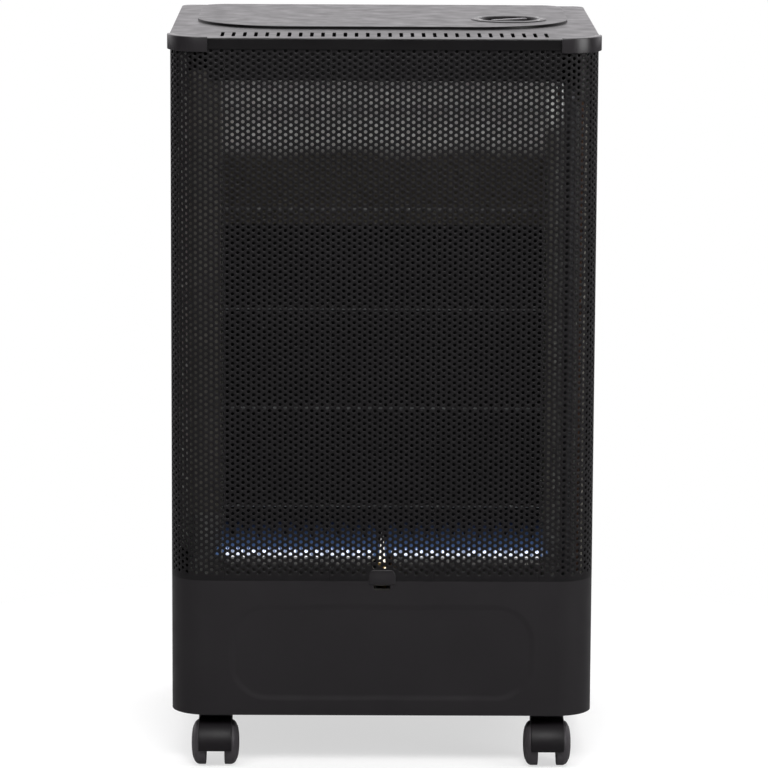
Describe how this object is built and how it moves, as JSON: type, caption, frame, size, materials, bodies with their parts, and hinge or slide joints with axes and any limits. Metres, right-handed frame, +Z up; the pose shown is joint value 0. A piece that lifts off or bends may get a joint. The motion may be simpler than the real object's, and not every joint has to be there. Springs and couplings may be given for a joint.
{
  "type": "portable gas cabinet heater",
  "caption": "Sheet steel cabinet heater on castors: perforated wrap-round front, vented lid with a recessed gas knob, blue-flame burner, lift-off back over a cylinder bay.",
  "frame": {"origin": "on the floor under the middle of the heater's plan", "axes": "+Z up, the front faces -Y, +X is to the right of someone who looks at the front"},
  "size_m": [0.42, 0.37, 0.7255],
  "materials": {
    "black_powder_coat": "satin powder coat on sheet steel",
    "black_enamel": "matt heat-proof black",
    "black_plastic": "fine moulded grain",
    "castor_plastic": "moulded nylon",
    "wheel_plastic": "moulded nylon tread",
    "galvanised_steel": "hot-dip zinc, satin",
    "bright_steel": "bright zinc plate",
    "burner_steel": "pressed aluminised steel",
    "cast_aluminium": "die cast",
    "aluminium_tube": "drawn tube",
    "brass": "machined",
    "ceramic": "glazed white ceramic",
    "silicone": "silicone sleeve"
  },
  "bodies": {
    "cabinet": {"base_tray": "black_powder_coat", "front_panel": "black_powder_coat", "front_left_wrap": "black_powder_coat", "front_right_wrap": "black_powder_coat", "left_side_panel": "black_powder_coat", "right_side_panel": "black_powder_coat", "rear_cross_rail": "black_powder_coat", "top_lid": "black_powder_coat", "front_header": "black_enamel", "firebox_back": "black_enamel", "left_lid_cap": "black_plastic", "right_lid_cap": "black_plastic", "knob_bezel": "black_plastic", "piezo_igniter": "black_plastic", "gas_valve_body": "cast_aluminium", "pilot_pipe": "aluminium_tube", "valve_bracket": "galvanised_steel", "burner_shelf": "galvanised_steel", "firebox_left_wall": "galvanised_steel", "firebox_right_wall": "galvanised_steel", "top_deflector": "galvanised_steel", "heat_shield": "galvanised_steel", "hose_tail": "brass", "injector_block": "brass", "pilot_burner": "brass", "thermocouple": "brass", "gas_pipe": "bright_steel", "burner_left": "burner_steel", "burner_right": "burner_steel", "ignition_lead": "silicone", "spark_electrode": "ceramic", "guard_wire_1": "bright_steel", "guard_wire_2": "bright_steel", "guard_wire_3": "bright_steel", "guard_wire_4": "bright_steel", "guard_wire_5": "bright_steel", "castor_plate_front_left": "castor_plastic", "castor_plate_front_right": "castor_plastic", "castor_plate_rear_left": "castor_plastic", "castor_plate_rear_right": "castor_plastic"},
    "back": {"rear_cover": "black_powder_coat"},
    "push_washer": {"thrust_washer": "bright_steel"},
    "knob": {"knob_spindle": "bright_steel", "control_knob": "black_plastic"},
    "castor_front_left": {"castor_hood_front_left": "castor_plastic", "castor_axle_front_left": "bright_steel"},
    "wheel_front_left_left": {"castor_wheel_front_left_left": "wheel_plastic"},
    "wheel_front_left_right": {"castor_wheel_front_left_right": "wheel_plastic"},
    "castor_front_right": {"castor_hood_front_right": "castor_plastic", "castor_axle_front_right": "bright_steel"},
    "wheel_front_right_left": {"castor_wheel_front_right_left": "wheel_plastic"},
    "wheel_front_right_right": {"castor_wheel_front_right_right": "wheel_plastic"},
    "castor_rear_left": {"castor_hood_rear_left": "castor_plastic", "castor_axle_rear_left": "bright_steel"},
    "wheel_rear_left_left": {"castor_wheel_rear_left_left": "wheel_plastic"},
    "wheel_rear_left_right": {"castor_wheel_rear_left_right": "wheel_plastic"},
    "castor_rear_right": {"castor_hood_rear_right": "castor_plastic", "castor_axle_rear_right": "bright_steel"},
    "wheel_rear_right_left": {"castor_wheel_rear_right_left": "wheel_plastic"},
    "wheel_rear_right_right": {"castor_wheel_rear_right_right": "wheel_plastic"}
  },
  "joints": [
    {"name": "rear_cover_pull", "type": "slide", "parent": "cabinet", "child": "back", "axis": [0, 1, 0], "range_m": [0, 0.35]},
    {"name": "knob_press", "type": "slide", "parent": "cabinet", "child": "push_washer", "axis": [0, 0, -1], "range_m": [0, 0.006], "stiffness_N_per_m": 900, "springref_m": -0.004},
    {"name": "knob_turn", "type": "hinge", "parent": "push_washer", "child": "knob", "pos_m": [0.125, 0, 0.715], "axis": [0, 0, 1], "range_deg": [0, 190]},
    {"name": "castor_swivel_front_left", "type": "hinge", "parent": "cabinet", "child": "castor_front_left", "pos_m": [-0.164, -0.1475, 0.052], "axis": [0, 0, 1], "continuous": true},
    {"name": "wheel_roll_front_left_left", "type": "hinge", "parent": "castor_front_left", "child": "wheel_front_left_left", "pos_m": [-0.1804, -0.1595, 0.0223], "axis": [1, 0, 0], "continuous": true},
    {"name": "wheel_roll_front_left_right", "type": "hinge", "parent": "castor_front_left", "child": "wheel_front_left_right", "pos_m": [-0.1476, -0.1595, 0.0223], "axis": [1, 0, 0], "continuous": true},
    {"name": "castor_swivel_front_right", "type": "hinge", "parent": "cabinet", "child": "castor_front_right", "pos_m": [0.164, -0.1475, 0.052], "axis": [0, 0, 1], "continuous": true},
    {"name": "wheel_roll_front_right_left", "type": "hinge", "parent": "castor_front_right", "child": "wheel_front_right_left", "pos_m": [0.1476, -0.1595, 0.0223], "axis": [1, 0, 0], "continuous": true},
    {"name": "wheel_roll_front_right_right", "type": "hinge", "parent": "castor_front_right", "child": "wheel_front_right_right", "pos_m": [0.1804, -0.1595, 0.0223], "axis": [1, 0, 0], "continuous": true},
    {"name": "castor_swivel_rear_left", "type": "hinge", "parent": "cabinet", "child": "castor_rear_left", "pos_m": [-0.164, 0.1475, 0.052], "axis": [0, 0, 1], "continuous": true},
    {"name": "wheel_roll_rear_left_left", "type": "hinge", "parent": "castor_rear_left", "child": "wheel_rear_left_left", "pos_m": [-0.1804, 0.1355, 0.0223], "axis": [1, 0, 0], "continuous": true},
    {"name": "wheel_roll_rear_left_right", "type": "hinge", "parent": "castor_rear_left", "child": "wheel_rear_left_right", "pos_m": [-0.1476, 0.1355, 0.0223], "axis": [1, 0, 0], "continuous": true},
    {"name": "castor_swivel_rear_right", "type": "hinge", "parent": "cabinet", "child": "castor_rear_right", "pos_m": [0.164, 0.1475, 0.052], "axis": [0, 0, 1], "continuous": true},
    {"name": "wheel_roll_rear_right_left", "type": "hinge", "parent": "castor_rear_right", "child": "wheel_rear_right_left", "pos_m": [0.1476, 0.1355, 0.0223], "axis": [1, 0, 0], "continuous": true},
    {"name": "wheel_roll_rear_right_right", "type": "hinge", "parent": "castor_rear_right", "child": "wheel_rear_right_right", "pos_m": [0.1804, 0.1355, 0.0223], "axis": [1, 0, 0], "continuous": true}
  ]
}
